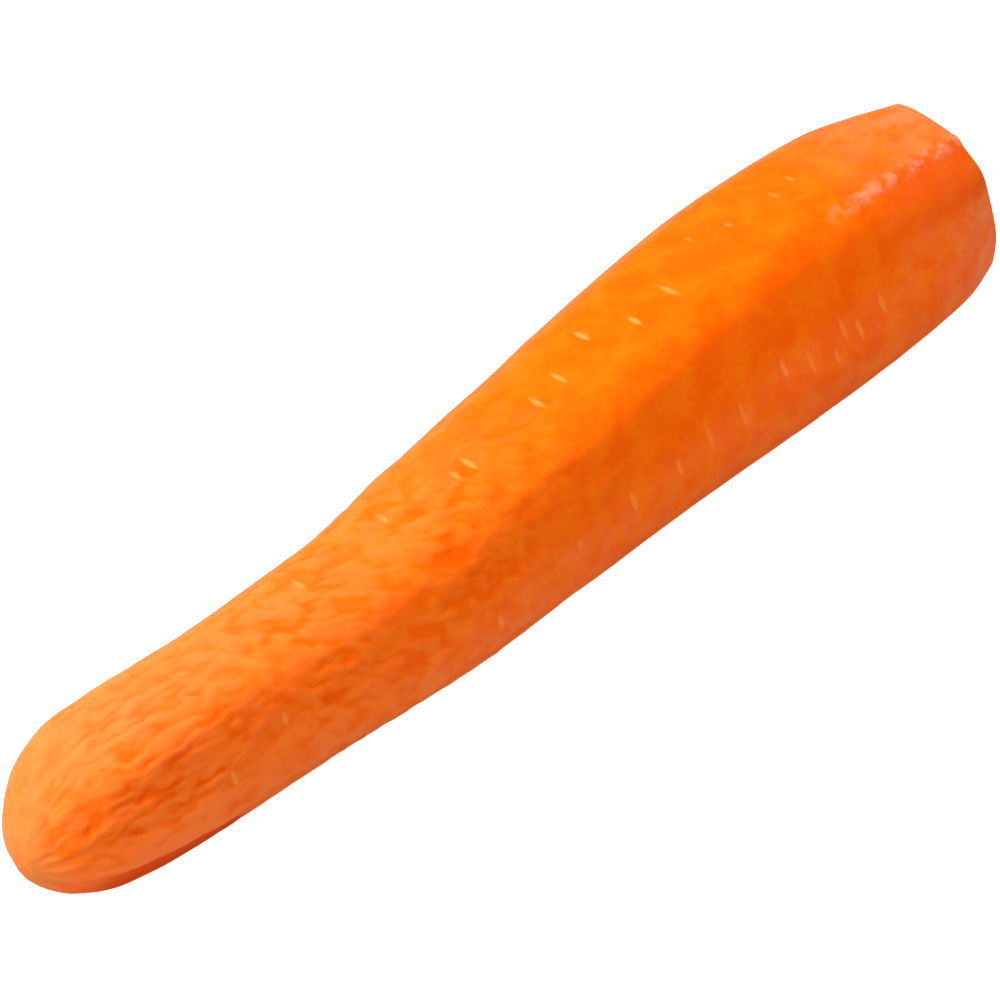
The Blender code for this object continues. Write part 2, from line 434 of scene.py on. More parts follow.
def cut_rings(last):
    """Rings of the rounded edge and of the cut face, down to its middle."""
    middle = last.points.mean(axis=0)
    middle[0] = LENGTH
    flat_rim = last.points.copy()
    flat_rim[:, 0] = LENGTH
    spread = np.linalg.norm(flat_rim - middle, axis=1).mean()
    rings = []
    for i in range(1, EDGE_RINGS + 1):
        turn = 0.5 * pi * i / EDGE_RINGS
        points = middle + (flat_rim - middle) * (1 - CUT_EDGE * (1 - cos(turn)) / spread)
        points[:, 0] = LENGTH - CUT_EDGE * (1 - sin(turn))
        place = last.wound + np.array([CUT_EDGE * i / EDGE_RINGS, 0, 0])
        rings.append(last._replace(points=points, wound=place, station=LENGTH))
    edge = rings[-1].points
    for i in range(1, CUT_RINGS):
        share = 1 - i / CUT_RINGS
        points = middle + (edge - middle) * share
        points[:, 0] = LENGTH - CUT_DISH * (1 - share ** 2)
        place = last.wound * np.array([1, share, share])
        rings.append(last._replace(points=points, wound=place, station=LENGTH, cut=1 - 0.999 * share))
    return rings, middle - np.array([CUT_DISH, 0, 0])


def pinch_pole(points):
    """Raise the small fold beside the pole of the tip and sink the groove next to it."""
    y = points[:, 1] - POLE_FOLD[0]
    z = points[:, 2] - POLE_FOLD[1]
    turn = radians(POLE_FOLD_TURN)
    down = (y * cos(turn) + z * sin(turn)) / POLE_FOLD_LENGTH
    across = (z * cos(turn) - y * sin(turn)) / POLE_FOLD_WIDTH
    profile = across * np.exp(0.5 - 0.5 * across ** 2 - down ** 2)
    at_tip = points[:, 0] < TIP_CAP - 0.5 * LENGTH
    points[:, 0] -= POLE_FOLD_HEIGHT * profile * at_tip


def point_attribute(mesh, name, kind, values):
    """Store one value for each vertex."""
    attribute = mesh.attributes.new(name, kind, "POINT")
    field = "vector" if kind == "FLOAT_VECTOR" else "value"
    attribute.data.foreach_set(field, np.asarray(values, np.float32).ravel())


def fine_root():
    """The root's form as a fine grid, centred as its solid is, with the attributes that patterns follow."""
    theta = 2 * pi * np.arange(COLUMNS) / COLUMNS
    rings = skin_rings(theta)
    inner, cut_middle = cut_rings(rings[-1])
    rings += inner
    pole = np.array([[0, along(SWAY, 0), along(GIRTH, 0)]])
    points = np.concatenate([pole] + [ring.points for ring in rings] + [[cut_middle]])
    low = points.min(axis=0)
    high = points.max(axis=0)
    middle = 0.5 * (low + high)
    points[:, :2] -= middle[:2]
    pinch_pole(points)

    faces = []
    last = len(points) - 1
    for j in range(COLUMNS):
        k = (j + 1) % COLUMNS
        faces.append((0, 1 + k, 1 + j))
        start = last - COLUMNS
        faces.append((last, start + j, start + k))
        for i in range(len(rings) - 1):
            row = 1 + i * COLUMNS
            faces.append((row + j, row + k, row + COLUMNS + k, row + COLUMNS + j))
    mesh = bpy.data.meshes.new("peeled_root")
    mesh.from_pydata(points.tolist(), [], faces)
    mesh.validate()

    wound_places = np.concatenate([[[0, 0, 0]]] + [ring.wound for ring in rings] + [[[LENGTH, 0, 0]]])
    point_attribute(mesh, "wound", "FLOAT_VECTOR", wound_places)
    for name, at_pole, at_middle in (
        ("station", 0.0, LENGTH), ("off_ridge", 0.0, 0.0), ("cut", 0.0, 1.0), ("fresh", 0.0, 0.0),
    ):
        values = [np.broadcast_to(getattr(ring, name), COLUMNS) for ring in rings]
        point_attribute(mesh, name, "FLOAT", np.concatenate([[at_pole]] + values + [[at_middle]]))
    return mesh


def scar_places(seed):
    """All root scars as (millimetres from the tip, degrees, millimetres long, paleness)."""
    draw = np.random.default_rng(seed)
    scars = [(*scar, UPPER_PALENESS) for scar in UPPER_SCARS]
    scars += [(*scar, LOWER_PALENESS) for scar in LOWER_SCARS]
    for angle in FAR_RANKS:
        place = FAR_SCAR_START + draw.uniform(*FAR_SCAR_GAPS)
        while place * MM < LENGTH - TIP_CAP:
            stray = draw.uniform(-FAR_SCAR_STRAY, FAR_SCAR_STRAY)
            scars.append((place, angle + stray, draw.uniform(*FAR_SCAR_LENGTHS), LOWER_PALENESS))
            place += draw.uniform(*FAR_SCAR_GAPS)
    return scars


def scar_guide(seed):
    """Loose vertices at the scars' wound places, for the skin's tree to measure from."""
    stations = ring_places()
    distances = skin_distances(stations)
    points = []
    sizes = []
    for place, angle, length, paleness in scar_places(seed):
        x = place * MM
        skin = np.interp(x, stations, distances)
        points.append((wound(skin, x, np.array([radians(angle)]))[0] * SCAR_SPACE).tolist())
        fullness = min(length / SCAR_FULL, SCAR_FULL / length)
        width = SCAR_WIDTH * (0.4 + 0.6 * fullness)
        sizes.append((0.5 * width, 0.5 * length * MM, paleness * fullness))
    mesh = bpy.data.meshes.new("scar_guide")
    mesh.from_pydata(points, [], [])
    point_attribute(mesh, "half_sizes", "FLOAT_VECTOR", sizes)
    guide = bpy.data.objects.new("scar_guide", mesh)
    bpy.context.scene.collection.objects.link(guide)
    return guide


def add(tree, kind, inputs=(), output=0, **settings):
    """Add a node with its settings, values and links, and give one of its outputs."""
    made = tree.nodes.new(kind)
    count = len(tree.nodes)
    made.location = (190 * (count // 6), -230 * (count % 6))
    for name, value in settings.items():
        setattr(made, name, value)
    for key, value in dict(inputs).items():
        if isinstance(value, bpy.types.NodeSocket):
            tree.links.new(value, made.inputs[key])
        else:
            made.inputs[key].default_value = value
    return made.outputs[output] if len(made.outputs) else made


def pads(tree, place, length, width):
    """Rounded pads, 1 on their tops and 0 in the creases between them, about length by width apart."""
    across = add(tree, "ShaderNodeMath", {0: 1.0, 1: width}, operation="DIVIDE")
    down = add(tree, "ShaderNodeMath", {0: 1.0, 1: length}, operation="DIVIDE")
    scale = add(tree, "ShaderNodeCombineXYZ", {0: down, 1: across, 2: across})
    stretched = add(tree, "ShaderNodeVectorMath", {0: place, 1: scale}, operation="MULTIPLY")
    far = add(
        tree, "ShaderNodeTexVoronoi", {"Vector": stretched, "Scale": 1.0, "Smoothness": 0.12},
        feature="SMOOTH_F1",
    )
    slope = add(tree, "ShaderNodeMapRange", {"Value": far, "From Max": 0.8})
    fall = add(tree, "ShaderNodeMath", {0: slope, 1: slope}, operation="MULTIPLY")
    even = add(tree, "ShaderNodeMath", {0: 1.0, 1: fall}, operation="SUBTRACT")
    noise_height = add(tree, "ShaderNodeTexNoise", {"Vector": stretched, "Scale": 0.9, "Detail": 1.0})
    uneven = add(tree, "ShaderNodeMapRange", {"Value": noise_height, "From Min": 0.3, "From Max": 0.7})
    return add(tree, "ShaderNodeMix", {0: 0.5, 2: even, 3: uneven}, data_type="FLOAT")


def pad_heights(tree, place, station, sizes):
    """Height of the skin's pads, 0 to 1: long at the tip, short and askew further up."""
    cloud = add(
        tree, "ShaderNodeTexNoise", {"Vector": place, "Scale": 1 / (4 * MM), "Detail": 1.0}, "Color",
    )
    aside = add(tree, "ShaderNodeVectorMath", {0: cloud, 1: (0.5, 0.5, 0.5)}, operation="SUBTRACT")
    step = add(tree, "ShaderNodeVectorMath", {0: aside, "Scale": sizes["Wander"]}, operation="SCALE")
    moved = add(tree, "ShaderNodeVectorMath", {0: place, 1: step}, operation="ADD")
    down_root = add(tree, "ShaderNodeSeparateXYZ", {0: moved}, 0)
    lean = add(tree, "ShaderNodeCombineXYZ", {1: down_root, 2: down_root})
    leant = add(tree, "ShaderNodeVectorMath", {0: lean, 1: PAD_LEAN, 2: moved}, operation="MULTIPLY_ADD")
    drawn_out = pads(tree, moved, sizes["Tip Pad Length"], sizes["Tip Pad Width"])
    short = pads(tree, leant, sizes["Pad Length"], sizes["Pad Width"])
    up_root = add(tree, "ShaderNodeMapRange", {"Value": station, "From Min": 25 * MM, "From Max": 55 * MM})
    return add(tree, "ShaderNodeMix", {0: up_root, 2: drawn_out, 3: short}, data_type="FLOAT")


def wrinkle_strength(tree, place, station, ridge, fresh, sizes):
    """How wrinkled the skin is, 0 to 1: most along the ridge, and not at the crown or on the tip's stroke.
    """
    wrinkled = add(
        tree, "ShaderNodeMapRange",
        {"Value": station, "From Min": sizes["Wrinkled To"], "From Max": sizes["Smooth From"],
         "To Min": 1.0, "To Max": 0.0},
        interpolation_type="SMOOTHSTEP",
    )
    clouds = add(tree, "ShaderNodeTexNoise", {"Vector": place, "Scale": 1 / (14 * MM), "Detail": 1.0})
    patch = add(
        tree, "ShaderNodeMapRange",
        {"Value": clouds, "From Min": 0.35, "From Max": 0.62, "To Min": 0.4, "To Max": 1.0},
    )
    off_pole = add(
        tree, "ShaderNodeMapRange",
        {"Value": station, "From Min": 0.5 * MM, "From Max": 15 * MM, "To Min": 0.2, "To Max": 0.9},
    )
    beside = add(tree, "ShaderNodeMath", {0: ridge, 1: BAND_MIDDLE}, operation="SUBTRACT")
    from_band = add(tree, "ShaderNodeMath", {0: beside}, operation="ABSOLUTE")
    band = add(
        tree, "ShaderNodeMapRange",
        {"Value": from_band, "From Min": BAND_FADE[0], "From Max": BAND_FADE[1],
         "To Min": 1.0, "To Max": 0.4},
        interpolation_type="SMOOTHSTEP",
    )
    off_cut = add(tree, "ShaderNodeMath", {0: 1.0, 1: fresh}, operation="SUBTRACT")
    strength = wrinkled
    for factor in (patch, off_pole, band, off_cut):
        strength = add(tree, "ShaderNodeMath", {0: strength, 1: factor}, operation="MULTIPLY")
    return strength


def root_scars(tree, place, guide_object):
    """The nearest scar's lens, as places across and along it with its strength, and how deep it sinks."""
    guide = add(tree, "GeometryNodeObjectInfo", {"Object": guide_object}, "Geometry")
    spaced = add(tree, "ShaderNodeVectorMath", {0: place, 1: SCAR_SPACE}, operation="MULTIPLY")
    nearest = add(
        tree, "GeometryNodeSampleNearest", {"Geometry": guide, "Sample Position": spaced}, domain="POINT",
    )
    guide_places = add(tree, "GeometryNodeInputPosition")
    spaced_centre = add(
        tree, "GeometryNodeSampleIndex", {"Geometry": guide, "Value": guide_places, "Index": nearest},
        data_type="FLOAT_VECTOR", domain="POINT",
    )
    guide_sizes = add(
        tree, "GeometryNodeInputNamedAttribute", {"Name": "half_sizes"}, data_type="FLOAT_VECTOR",
    )
    half_sizes = add(
        tree, "GeometryNodeSampleIndex", {"Geometry": guide, "Value": guide_sizes, "Index": nearest},
        data_type="FLOAT_VECTOR", domain="POINT",
    )
    centre = add(tree, "ShaderNodeVectorMath", {0: spaced_centre, 1: SCAR_SPACE}, operation="DIVIDE")
    away = add(tree, "ShaderNodeVectorMath", {0: place, 1: centre}, operation="SUBTRACT")
    outward = add(tree, "ShaderNodeVectorMath", {0: centre, 1: (0.0, 1.0, 1.0)}, operation="MULTIPLY")
    sideways = add(
        tree, "ShaderNodeVectorMath", {0: (1.0, 0.0, 0.0), 1: outward}, operation="CROSS_PRODUCT",
    )
    unit = add(tree, "ShaderNodeVectorMath", {0: sideways}, operation="NORMALIZE")
    round_root = add(tree, "ShaderNodeVectorMath", {0: away, 1: unit}, "Value", operation="DOT_PRODUCT")
    along_root = add(tree, "ShaderNodeSeparateXYZ", {0: away}, 0)
    half = add(tree, "ShaderNodeSeparateXYZ", {0: half_sizes}).node.outputs
    lens_x = add(tree, "ShaderNodeMath", {0: along_root, 1: half[0]}, operation="DIVIDE")
    lens_y = add(tree, "ShaderNodeMath", {0: round_root, 1: half[1]}, operation="DIVIDE")
    spread = add(tree, "ShaderNodeCombineXYZ", {0: lens_x, 1: lens_y})
    reach = add(tree, "ShaderNodeVectorMath", {0: spread}, "Value", operation="LENGTH")
    near = add(tree, "ShaderNodeMath", {0: reach, 1: 1.6}, operation="LESS_THAN")
    scar_strength = add(tree, "ShaderNodeMath", {0: near, 1: half[2]}, operation="MULTIPLY")
    scar = add(tree, "ShaderNodeCombineXYZ", {0: lens_x, 1: lens_y, 2: scar_strength})
    sunk = add(
        tree, "ShaderNodeMapRange",
        {"Value": reach, "From Min": 0.3, "From Max": 1.5, "To Min": -1.0, "To Max": 0.0},
        interpolation_type="SMOOTHSTEP",
    )
    return scar, sunk


def torn_fibres(tree, place, station, ridge):
    """Ragged pattern of the torn fibres, and the line along the crown's ridge where they are."""
    torn = add(tree, "ShaderNodeTexNoise", {"Vector": place, "Scale": 1 / (2.6 * MM), "Detail": 3.0})
    from_fray = add(tree, "ShaderNodeMath", {0: ridge, 1: FRAY_OFFSET}, operation="ADD")
    beside = add(tree, "ShaderNodeMath", {0: from_fray}, operation="ABSOLUTE")
    on_ridge = add(
        tree, "ShaderNodeMapRange",
        {"Value": beside, "From Min": 0.4 * MM, "From Max": 2.2 * MM, "To Min": 1.0, "To Max": 0.0},
        interpolation_type="SMOOTHSTEP",
    )
    at_crown = add(
        tree, "ShaderNodeMapRange", {"Value": station, "From Min": 166 * MM, "From Max": 174 * MM},
    )
    return torn, add(tree, "ShaderNodeMath", {0: on_ridge, 1: at_crown}, operation="MULTIPLY")


def skin_tree():
    """Geometry Nodes tree that raises the skin's relief on the fine root."""
    tree = bpy.data.node_groups.new("peeled_skin", "GeometryNodeTree")
    tree.is_modifier = True
    lengths = (
        "Tip Pad Length", "Tip Pad Width", "Pad Length", "Pad Width", "Pad Depth", "Wander",
        "Wrinkled To", "Smooth From", "Dimple Size", "Dimple Depth", "Scar Depth", "Fray Height",
    )
    tree.interface.new_socket(name="Geometry", in_out="OUTPUT", socket_type="NodeSocketGeometry")
    tree.interface.new_socket(name="Geometry", in_out="INPUT", socket_type="NodeSocketGeometry")
    tree.interface.new_socket(name="Scar Guide", in_out="INPUT", socket_type="NodeSocketObject")
    tree.interface.new_socket(name="Skin Material", in_out="INPUT", socket_type="NodeSocketMaterial")
    tree.interface.new_socket(name="Cut Material", in_out="INPUT", socket_type="NodeSocketMaterial")
    for name in lengths:
        socket = tree.interface.new_socket(name=name, in_out="INPUT", socket_type="NodeSocketFloat")
        socket.subtype = "DISTANCE"
        socket.min_value = 0.0
    given = tree.nodes.new("NodeGroupInput").outputs

    place = add(tree, "GeometryNodeInputNamedAttribute", {"Name": "wound"}, data_type="FLOAT_VECTOR")
    station = add(tree, "GeometryNodeInputNamedAttribute", {"Name": "station"}, data_type="FLOAT")
    ridge = add(tree, "GeometryNodeInputNamedAttribute", {"Name": "off_ridge"}, data_type="FLOAT")
    cut = add(tree, "GeometryNodeInputNamedAttribute", {"Name": "cut"}, data_type="FLOAT")
    fresh = add(tree, "GeometryNodeInputNamedAttribute", {"Name": "fresh"}, data_type="FLOAT")

    # Pads between creases, in patches, up to where the skin is smooth
    heights = pad_heights(tree, place, station, given)
    strength = wrinkle_strength(tree, place, station, ridge, fresh, given)
    level = add(tree, "ShaderNodeMath", {0: heights, 1: 0.5}, operation="SUBTRACT")
    pad_height = add(tree, "ShaderNodeMath", {0: level, 1: given["Pad Depth"]}, operation="MULTIPLY")
    pad_relief = add(tree, "ShaderNodeMath", {0: pad_height, 1: strength}, operation="MULTIPLY")

    # Shallow dimples everywhere
    dimple_scale = add(tree, "ShaderNodeMath", {0: 1.0, 1: given["Dimple Size"]}, operation="DIVIDE")
    dimples = add(tree, "ShaderNodeTexNoise", {"Vector": place, "Scale": dimple_scale, "Detail": 2.0})
    dimple = add(tree, "ShaderNodeMath", {0: dimples, 1: 0.5}, operation="SUBTRACT")
    dimple_relief = add(
        tree, "ShaderNodeMath", {0: dimple, 1: given["Dimple Depth"], 2: pad_relief},
        operation="MULTIPLY_ADD",
    )

    # Lens-shaped root scars
    scar, sunk = root_scars(tree, place, given["Scar Guide"])
    scar_relief = add(
        tree, "ShaderNodeMath", {0: sunk, 1: given["Scar Depth"], 2: dimple_relief},
        operation="MULTIPLY_ADD",
    )

    # Torn fibres on the ridge of the crown
    torn, fray_line = torn_fibres(tree, place, station, ridge)
    flakes = add(tree, "ShaderNodeMapRange", {"Value": torn, "From Min": 0.46, "From Max": 0.6})
    fray = add(tree, "ShaderNodeMath", {0: fray_line, 1: flakes}, operation="MULTIPLY")
    fray_relief = add(
        tree, "ShaderNodeMath", {0: fray, 1: given["Fray Height"], 2: scar_relief},
        operation="MULTIPLY_ADD",
    )

    # Nothing rises on the cut face, and nothing goes below the surface that the root lies on
    on_skin = add(
        tree, "ShaderNodeMapRange", {"Value": cut, "From Max": 0.001, "To Min": 1.0, "To Max": 0.0},
    )
    off_tip = add(tree, "ShaderNodeMapRange", {"Value": station, "From Max": 1.5 * MM})
    skin_height = add(tree, "ShaderNodeMath", {0: fray_relief, 1: on_skin}, operation="MULTIPLY")
    height = add(tree, "ShaderNodeMath", {0: skin_height, 1: off_tip}, operation="MULTIPLY")
    normal = add(tree, "GeometryNodeInputNormal")
    offset = add(tree, "ShaderNodeVectorMath", {0: normal, "Scale": height}, operation="SCALE")
    stored = given["Geometry"]
    for name, value, kind in (
        ("scar", scar, "FLOAT_VECTOR"), ("pad", heights, "FLOAT"), ("wrinkle", strength, "FLOAT"),
    ):
        stored = add(
            tree, "GeometryNodeStoreNamedAttribute", {"Geometry": stored, "Name": name, "Value": value},
            data_type=kind, domain="POINT",
        )
    raised = add(tree, "GeometryNodeSetPosition", {"Geometry": stored, "Offset": offset})
    position = add(tree, "GeometryNodeInputPosition")
    grounded = add(
        tree, "ShaderNodeVectorMath", {0: position, 1: (-1.0, -1.0, 0.0)}, operation="MAXIMUM",
    )
    rested = add(tree, "GeometryNodeSetPosition", {"Geometry": raised, "Position": grounded})
    smooth = add(tree, "GeometryNodeSetShadeSmooth", {"Geometry": rested})
    realized = add(tree, "GeometryNodeRealizeInstances", {"Geometry": smooth})
    fleshed = add(
        tree, "GeometryNodeSetMaterial", {"Geometry": realized, "Material": given["Skin Material"]},
    )
    on_cut = add(
        tree, "FunctionNodeCompare", {0: cut, 1: 0.0005}, data_type="FLOAT", operation="GREATER_THAN",
    )
    finished = add(
        tree, "GeometryNodeSetMaterial",
        {"Geometry": fleshed, "Selection": on_cut, "Material": given["Cut Material"]},
    )
    add(tree, "NodeGroupOutput", {"Geometry": finished})
    return tree


def wet_flesh(tree, place, station, ridge, colours):
    """Colour of the wet flesh, with the pale film at the crown's end, painted reflection along the lower
    side and painted shade under the crown's ridge.
    """
    # Clouds and fine mottling in the wet flesh, yellower towards the tip
    clouds = add(
        tree, "ShaderNodeTexNoise",
        {"Vector": place, "Scale": 1 / (6 * MM), "Detail": 3.0, "Roughness": 0.55, "Distortion": 0.4},
    )
    mottling = add(tree, "ShaderNodeTexNoise", {"Vector": place, "Scale": 1 / (1.3 * MM), "Detail": 2.0})
    cloudy = add(tree, "ShaderNodeMix", {0: 0.25, 2: clouds, 3: mottling}, data_type="FLOAT")
    cloud = add(tree, "ShaderNodeMapRange", {"Value": cloudy, "From Min": 0.41, "From Max": 0.62})
    yellower = add(
        tree, "ShaderNodeMapRange",
        {"Value": station, "From Min": 70 * MM, "From Max": 135 * MM, "To Min": 0.4, "To Max": 0.0},
    )
    brightness = add(tree, "ShaderNodeMath", {0: cloud, 1: yellower}, operation="ADD", use_clamp=True)
    flesh = add(
        tree, "ShaderNodeMix", {0: brightness, 6: colours.flesh, 7: colours.bright}, 2, data_type="RGBA",
    )

    # Pale haze in flecks: painted reflection of the table along the lower side, and a pale film over the
    # crown's end
    film = add(
        tree, "ShaderNodeTexNoise",
        {"Vector": place, "Scale": 1 / (4 * MM), "Detail": 4.0, "Roughness": 0.6},
    )
    film_patch = add(
        tree, "ShaderNodeMapRange", {"Value": film, "From Min": 0.38, "From Max": 0.62, "To Min": 0.3},
        interpolation_type="SMOOTHSTEP",
    )
    low_side = add(tree, "ShaderNodeMath", {0: ridge, 1: 26 * MM}, operation="SUBTRACT")
    from_low = add(tree, "ShaderNodeMath", {0: low_side}, operation="ABSOLUTE")
    low_side_reflection = add(
        tree, "ShaderNodeMapRange",
        {"Value": from_low, "From Min": 6 * MM, "From Max": 15 * MM, "To Min": 1.0, "To Max": 0.0},
        interpolation_type="SMOOTHSTEP",
    )
    low_most = add(
        tree, "ShaderNodeMapRange",
        {"Value": station, "From Min": 80 * MM, "From Max": 120 * MM, "To Min": 0.16, "To Max": 0.06},
    )
    reflection_share = add(tree, "ShaderNodeMath", {0: low_side_reflection, 1: low_most}, operation="MULTIPLY")
    at_end = add(tree, "ShaderNodeMapRange", {"Value": station, "From Min": 172 * MM, "From Max": 197 * MM})
    under_ridge = add(tree, "ShaderNodeMath", {0: ridge, 1: 4.5 * MM}, operation="SUBTRACT")
    from_foot = add(tree, "ShaderNodeMath", {0: under_ridge}, operation="ABSOLUTE")
    off_foot = add(
        tree, "ShaderNodeMapRange", {"Value": from_foot, "From Min": 4.5 * MM, "From Max": 8 * MM},
        interpolation_type="SMOOTHSTEP",
    )
    end_spread = add(tree, "ShaderNodeMapRange", {"Value": off_foot, "To Min": 0.07, "To Max": 0.21})
    end_film = add(tree, "ShaderNodeMath", {0: at_end, 1: end_spread}, operation="MULTIPLY")
    haze_most = add(tree, "ShaderNodeMath", {0: reflection_share, 1: end_film}, operation="MAXIMUM")
    haze_share = add(tree, "ShaderNodeMath", {0: haze_most, 1: film_patch}, operation="MULTIPLY")
    hazed = add(tree, "ShaderNodeMix", {0: haze_share, 6: flesh, 7: colours.haze}, 2, data_type="RGBA")

    # Painted shade: deeper orange on the last stroke just under the crown's ridge
    ridge_foot_shade = add(tree, "ShaderNodeMapRange", {"Value": off_foot, "To Min": 0.5, "To Max": 0.0})
    ridge_shade_share = add(tree, "ShaderNodeMath", {0: at_end, 1: ridge_foot_shade}, operation="MULTIPLY")
    return add(tree, "ShaderNodeMix", {0: ridge_shade_share, 6: hazed, 7: colours.fresh}, 2, data_type="RGBA")


def dry_and_sheen_flesh(tree, wet, station, ridge, heights, colours):
    """Colour with the pale dried skin, most at the tip and on the upper side, with painted sheen on the lit
    upper side and on the pads' tops, and how dry it is there.
    """
    towards_tip = add(
        tree, "ShaderNodeMapRange",
        {"Value": station, "From Min": 15 * MM, "From Max": 120 * MM, "To Min": 0.92, "To Max": 0.0},
    )
    dried = add(tree, "ShaderNodeMath", {0: towards_tip, 1: 1.4}, operation="POWER")
    first = SIDE_PALENESS[0][0]
    last = SIDE_PALENESS[-1][0]
    across = add(
        tree, "ShaderNodeMapRange", {"Value": ridge, "From Min": first * MM, "From Max": last * MM},
    )
    sides = add(tree, "ShaderNodeValToRGB", {0: across})
    stops = sides.node.color_ramp.elements
    stops.remove(stops[1])
    for offset, grey in SIDE_PALENESS:
        stop = stops.new((offset - first) / (last - first))
        stop.color = (grey, grey, grey, 1)
    stops.remove(stops[0])
    # Painted highlight: the pads' tops take more of the pale colour
    pad_top = add(
        tree, "ShaderNodeMapRange",
        {"Value": heights, "From Min": 0.3, "From Max": 0.75, "To Min": 0.2, "To Max": 1.6},
    )
    off_cap = add(
        tree, "ShaderNodeMapRange",
        {"Value": station, "From Min": 5 * MM, "From Max": TIP_CAP, "To Min": 0.78},
    )
    side_paleness = add(tree, "ShaderNodeMath", {0: dried, 1: sides}, operation="MULTIPLY")
    dry_and_sheen = add(tree, "ShaderNodeMath", {0: side_paleness, 1: off_cap}, operation="MULTIPLY")
    on_pads = add(tree, "ShaderNodeMix", {0: dry_and_sheen, 2: pad_top, 3: 0.85}, data_type="FLOAT")
    share = add(tree, "ShaderNodeMath", {0: dry_and_sheen, 1: on_pads}, operation="MULTIPLY", use_clamp=True)
    pale_skin_colour = add(tree, "ShaderNodeMix", {0: share, 6: wet, 7: colours.dried}, 2, data_type="RGBA")
    return pale_skin_colour, dried


def peeled_flesh(colours):
    """Raw carrot with its skin peeled off: wet and clouded at the crown, drier and wrinkled at the tip."""
    material = bpy.data.materials.new("peeled_flesh")
    material.use_nodes = True
    tree = material.node_tree
    shader = tree.nodes["Principled BSDF"]
    place = add(tree, "ShaderNodeAttribute", output="Vector", attribute_name="wound")
    station = add(tree, "ShaderNodeAttribute", output="Fac", attribute_name="station")
    ridge = add(tree, "ShaderNodeAttribute", output="Fac", attribute_name="off_ridge")
    scar = add(tree, "ShaderNodeAttribute", output="Vector", attribute_name="scar")
    fresh = add(tree, "ShaderNodeAttribute", output="Fac", attribute_name="fresh")
    heights = add(tree, "ShaderNodeAttribute", output="Fac", attribute_name="pad")
    strength = add(tree, "ShaderNodeAttribute", output="Fac", attribute_name="wrinkle")

    wet = wet_flesh(tree, place, station, ridge, colours)
    pale_skin_colour, dried = dry_and_sheen_flesh(tree, wet, station, ridge, heights, colours)

    # Creases between the pads: deeper orange, partly wetter flesh and partly painted shade in the creases
    crease = add(
        tree, "ShaderNodeMapRange",
        {"Value": heights, "From Min": 0.2, "From Max": 0.55, "To Min": 0.9, "To Max": 0.0},
    )
    groove_share = add(tree, "ShaderNodeMath", {0: crease, 1: strength}, operation="MULTIPLY")
    grooved = add(tree, "ShaderNodeMix", {0: groove_share, 6: pale_skin_colour, 7: colours.groove}, 2, data_type="RGBA")

    # Scars
    lens = add(tree, "ShaderNodeSeparateXYZ", {0: scar}).node.outputs
    narrow = add(tree, "ShaderNodeMath", {0: lens[0]}, operation="ABSOLUTE")
    bow = add(tree, "ShaderNodeMath", {0: lens[1], 1: lens[1], 2: narrow}, operation="MULTIPLY_ADD")
    scar_spot = add(
        tree, "ShaderNodeMapRange",
        {"Value": bow, "From Min": 0.2, "From Max": 1.25, "To Min": 1.0, "To Max": 0.0},
        interpolation_type="SMOOTHSTEP",
    )
    scar_share = add(tree, "ShaderNodeMath", {0: scar_spot, 1: lens[2]}, operation="MULTIPLY")
    scarred = add(tree, "ShaderNodeMix", {0: scar_share, 6: grooved, 7: colours.scar}, 2, data_type="RGBA")

    # Torn fibres along the ridge of the crown
    torn, fray_line = torn_fibres(tree, place, station, ridge)
    flakes = add(
        tree, "ShaderNodeMapRange", {"Value": torn, "From Min": 0.42, "From Max": 0.6, "To Max": 0.4},
        interpolation_type="SMOOTHSTEP",
    )
    fray_share = add(tree, "ShaderNodeMath", {0: fray_line, 1: flakes}, operation="MULTIPLY")
    frayed = add(tree, "ShaderNodeMix", {0: fray_share, 6: scarred, 7: colours.haze}, 2, data_type="RGBA")

    # The corky pole of the tip, and painted shade in deeper orange on the flesh that the downward-facing
    # stroke beside it bared
    at_pole = add(
        tree, "ShaderNodeMapRange",
        {"Value": station, "From Min": 0.3 * MM, "From Max": 4.5 * MM, "To Min": 0.8, "To Max": 0.0},
        interpolation_type="SMOOTHSTEP",
    )
    corky = add(tree, "ShaderNodeMix", {0: at_pole, 6: frayed, 7: colours.pole}, 2, data_type="RGBA")
    coloured = add(tree, "ShaderNodeMix", {0: fresh, 6: corky, 7: colours.fresh}, 2, data_type="RGBA")
    tree.links.new(coloured, shader.inputs["Base Color"])

    # Wet where it is smooth, duller where it has dried
    wetness = add(tree, "ShaderNodeMapRange", {"Value": dried, "To Min": 0.36, "To Max": 0.5})
    tree.links.new(wetness, shader.inputs["Roughness"])
    for name, value in RAW_CARROT.items():
        shader.inputs[name].default_value = value

    # Fine grain of the cells, drawn down the root
    stretched = add(tree, "ShaderNodeVectorMath", {0: place, 1: (0.35, 1.0, 1.0)}, operation="MULTIPLY")
    grain = add(tree, "ShaderNodeTexNoise", {"Vector": stretched, "Scale": 1 / (0.45 * MM), "Detail": 2.0})
    grain_bump = add(tree, "ShaderNodeBump", {"Height": grain, "Strength": 0.1, "Distance": 0.1 * MM})
    tree.links.new(grain_bump, shader.inputs["Normal"])
    return material


